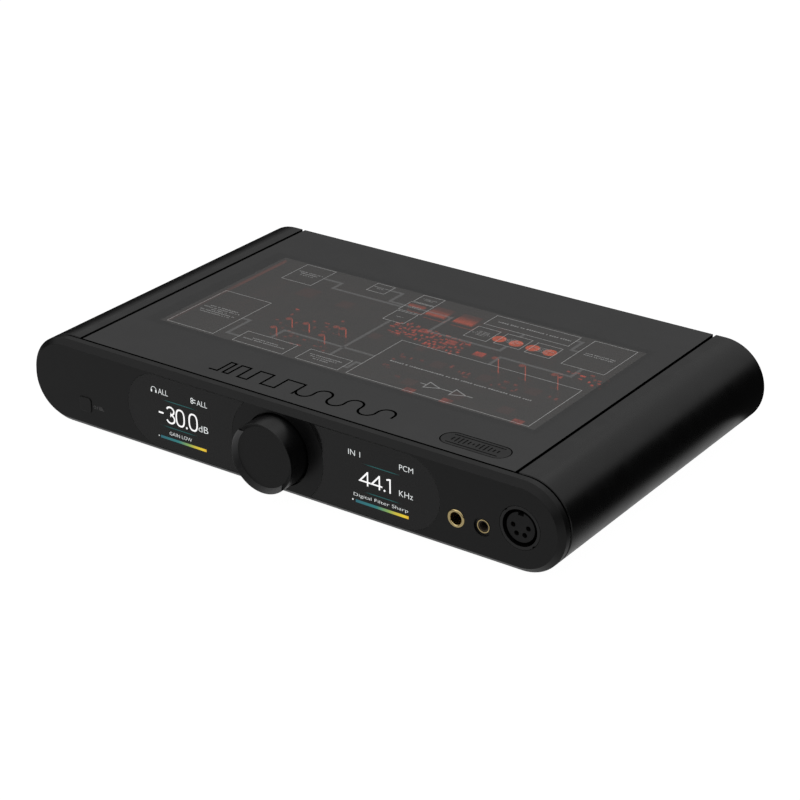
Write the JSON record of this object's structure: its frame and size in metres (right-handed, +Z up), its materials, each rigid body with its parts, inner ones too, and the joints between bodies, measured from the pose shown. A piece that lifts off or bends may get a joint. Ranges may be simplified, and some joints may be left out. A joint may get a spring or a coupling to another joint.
{
  "type": "desktop dac",
  "caption": "Low desktop DAC and headphone amplifier with rounded ends, a push-and-turn volume knob, smoked displays, headphone sockets and rear connectors.",
  "frame": {"origin": "centre of the overall footprint, on the surface the feet stand on", "axes": "+X to the right seen from the front, +Y towards the rear panel, +Z up; the knob faces -Y"},
  "size_m": [0.34, 0.225, 0.0512],
  "materials": {
    "case_anodised": "fine bead-blasted dark grey anodising",
    "badge_metal": "dark anodised, bright bevelled edge",
    "black_steel": "satin black powder coat",
    "foot_rubber": "matte",
    "screw_steel": "blackened",
    "knob_anodised": "satin black anodised with a fine turned grain",
    "inlay_metal": "satin light grey anodised",
    "smoked_glass": "glossy smoked",
    "display_black": "gloss black with a lit readout",
    "button_metal": "satin anodised",
    "black_plastic": "moulded",
    "black_chrome": "dark plated",
    "bright_nickel": "nickel plated",
    "gold_plate": "gold plated",
    "circuit_board": "black solder mask",
    "capacitor_sleeve": "printed sleeve",
    "relay_case": "moulded",
    "chip_epoxy": "moulded epoxy",
    "heat_sink": "black anodised",
    "transformer_steel": "varnished laminations",
    "winding_tape": "tape",
    "wire_sleeve": "flexible sleeve"
  },
  "bodies": {
    "chassis": {"front_panel": "case_anodised", "left_side_extrusion": "case_anodised", "right_side_extrusion": "case_anodised", "top_panel": "case_anodised", "top_badge": "badge_metal", "base_plate": "black_steel", "rear_panel": "black_steel", "front_subframe": "black_steel", "top_frame": "black_steel", "rubber_feet": "foot_rubber", "cap_screws": "screw_steel", "countersunk_screws": "screw_steel", "left_lens": "smoked_glass", "right_lens": "smoked_glass", "left_display": "display_black", "right_display": "display_black", "headphone_xlr_insert": "black_plastic", "large_jack_body": "black_plastic", "small_jack_body": "black_plastic", "mains_inlet": "black_plastic", "power_switch_frame": "black_plastic", "optical_socket": "black_plastic", "trigger_socket": "black_plastic", "rca_cores": "black_plastic", "encoder_body": "black_plastic", "button_switch": "black_plastic", "headphone_xlr_shell": "black_chrome", "xlr_output_shells": "bright_nickel", "xlr_output_pins": "bright_nickel", "rca_shells": "bright_nickel", "usb_socket": "bright_nickel", "antenna_socket": "bright_nickel", "mains_inlet_pins": "bright_nickel", "board_standoffs": "bright_nickel", "encoder_nut": "bright_nickel", "receiver_shield": "bright_nickel", "headphone_xlr_contacts": "gold_plate", "large_jack_bush": "gold_plate", "small_jack_bush": "gold_plate", "upper_board": "circuit_board", "main_board": "circuit_board", "power_supply_board": "circuit_board", "front_board": "circuit_board", "filter_capacitors": "capacitor_sleeve", "supply_capacitors": "capacitor_sleeve", "relays_and_crystal": "relay_case", "board_chips": "chip_epoxy", "surface_parts": "chip_epoxy", "heat_sinks": "heat_sink", "power_transformer_core": "transformer_steel", "power_transformer_winding": "winding_tape", "mains_wires": "wire_sleeve", "front_ribbon_cable": "wire_sleeve"},
    "knob": {"volume_knob": "knob_anodised", "knob_inlay": "inlay_metal", "knob_grub_screw": "screw_steel", "encoder_shaft": "bright_nickel"},
    "knob_push": {"encoder_plunger": "black_plastic"},
    "button": {"select_button": "button_metal"},
    "rocker": {"power_switch_rocker": "black_plastic"}
  },
  "joints": [
    {"name": "knob_press", "type": "slide", "parent": "chassis", "child": "knob_push", "axis": [0, 1, 0], "range_m": [0, 0.0006], "stiffness_N_per_m": 2000, "springref_m": -0.0003},
    {"name": "knob_turn", "type": "hinge", "parent": "knob_push", "child": "knob", "pos_m": [0, -0.0995, 0.02685], "axis": [0, -1, 0], "continuous": true},
    {"name": "button_press", "type": "slide", "parent": "chassis", "child": "button", "axis": [0, 1, 0], "range_m": [0, 0.0004], "stiffness_N_per_m": 800, "springref_m": -0.0003},
    {"name": "rocker_tilt", "type": "hinge", "parent": "chassis", "child": "rocker", "pos_m": [-0.083, 0.101, 0.0215], "axis": [0, 0, 1], "range_deg": [-18, 0]}
  ]
}
